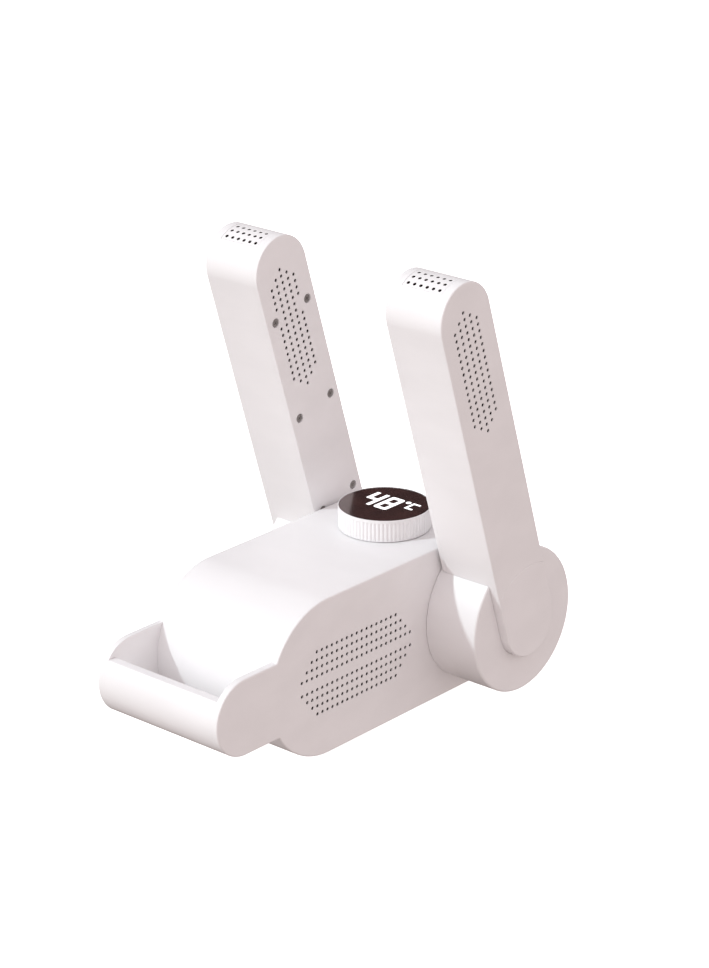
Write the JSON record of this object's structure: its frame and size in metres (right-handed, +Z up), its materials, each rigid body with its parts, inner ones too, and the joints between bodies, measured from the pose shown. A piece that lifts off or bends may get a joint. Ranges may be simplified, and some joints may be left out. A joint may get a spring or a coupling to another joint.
{
  "type": "boot dryer",
  "caption": "Folding boot dryer: low round-ended body with a carry handle, hollow warm-air arms that fold forward on side barrels, and a ribbed dial around a round display.",
  "frame": {"origin": "on the surface it stands on, under the middle of the whole object's box at rest, with the arms leaning forward 17 degrees", "axes": "+Z up; -Y towards the carry handle at the front; +X towards the right arm, which is on the right of someone who stands in front and faces the handle"},
  "size_m": [0.1878, 0.284, 0.2899],
  "materials": {
    "housing_plastic": "satin white ABS",
    "arm_plastic": "satin white ABS",
    "dial_plastic": "satin white ABS, finely ribbed",
    "display_lens": "gloss brown-black acrylic",
    "duct_plastic": "matte heat-resistant plastic",
    "heater_aluminium": "bare",
    "motor_steel": "plated",
    "screw_steel": "zinc plated",
    "circuit_board": "solder mask",
    "washer_acetal": "waxy acetal",
    "foot_rubber": "matte black",
    "gland_rubber": "matte pale grey"
  },
  "bodies": {
    "base": {"main_housing": "housing_plastic", "right_side_panel": "housing_plastic", "left_side_panel": "housing_plastic", "handle_bar": "housing_plastic", "base_plate": "housing_plastic", "foot_1": "foot_rubber", "foot_2": "foot_rubber", "foot_3": "foot_rubber", "foot_4": "foot_rubber", "base_screw_1": "screw_steel", "base_screw_2": "screw_steel", "base_screw_3": "screw_steel", "base_screw_4": "screw_steel", "cord_gland": "gland_rubber", "fan_housing": "duct_plastic", "fan_motor": "motor_steel", "heater_frame": "duct_plastic", "heater_core": "heater_aluminium", "thermal_fuse": "motor_steel", "air_manifold": "duct_plastic", "control_board": "circuit_board", "dial_seat": "housing_plastic", "display_lens": "display_lens", "display_module": "circuit_board", "right_hinge_sleeve": "duct_plastic", "left_hinge_sleeve": "duct_plastic", "right_retaining_ring": "screw_steel", "left_retaining_ring": "screw_steel"},
    "right_arm": {"right_barrel": "arm_plastic", "right_arm_shell": "arm_plastic", "right_inner_cover": "arm_plastic", "right_tip_vent": "arm_plastic", "right_hinge_cap": "arm_plastic", "right_friction_washer": "washer_acetal", "right_arm_screw_1": "screw_steel", "right_arm_screw_2": "screw_steel", "right_arm_screw_3": "screw_steel", "right_arm_screw_4": "screw_steel", "right_arm_screw_5": "screw_steel", "right_arm_screw_6": "screw_steel"},
    "left_arm": {"left_barrel": "arm_plastic", "left_arm_shell": "arm_plastic", "left_inner_cover": "arm_plastic", "left_tip_vent": "arm_plastic", "left_hinge_cap": "arm_plastic", "left_friction_washer": "washer_acetal", "left_arm_screw_1": "screw_steel", "left_arm_screw_2": "screw_steel", "left_arm_screw_3": "screw_steel", "left_arm_screw_4": "screw_steel", "left_arm_screw_5": "screw_steel", "left_arm_screw_6": "screw_steel"},
    "dial": {"dial_ring": "dial_plastic"},
    "fan": {"fan_impeller": "duct_plastic", "motor_shaft": "motor_steel"}
  },
  "joints": [
    {"name": "right_arm_fold", "type": "hinge", "parent": "base", "child": "right_arm", "pos_m": [0, 0.0915, 0.0544], "axis": [1, 0, 0], "range_deg": [-17, 73]},
    {"name": "left_arm_fold", "type": "hinge", "parent": "base", "child": "left_arm", "pos_m": [0, 0.0915, 0.0544], "axis": [1, 0, 0], "range_deg": [-17, 73]},
    {"name": "dial_turn", "type": "hinge", "parent": "base", "child": "dial", "pos_m": [0, 0.0625, 0.11], "axis": [0, 0, 1], "continuous": true},
    {"name": "fan_spin", "type": "hinge", "parent": "base", "child": "fan", "pos_m": [0, -0.0198, 0.0512], "axis": [1, 0, 0], "continuous": true}
  ]
}
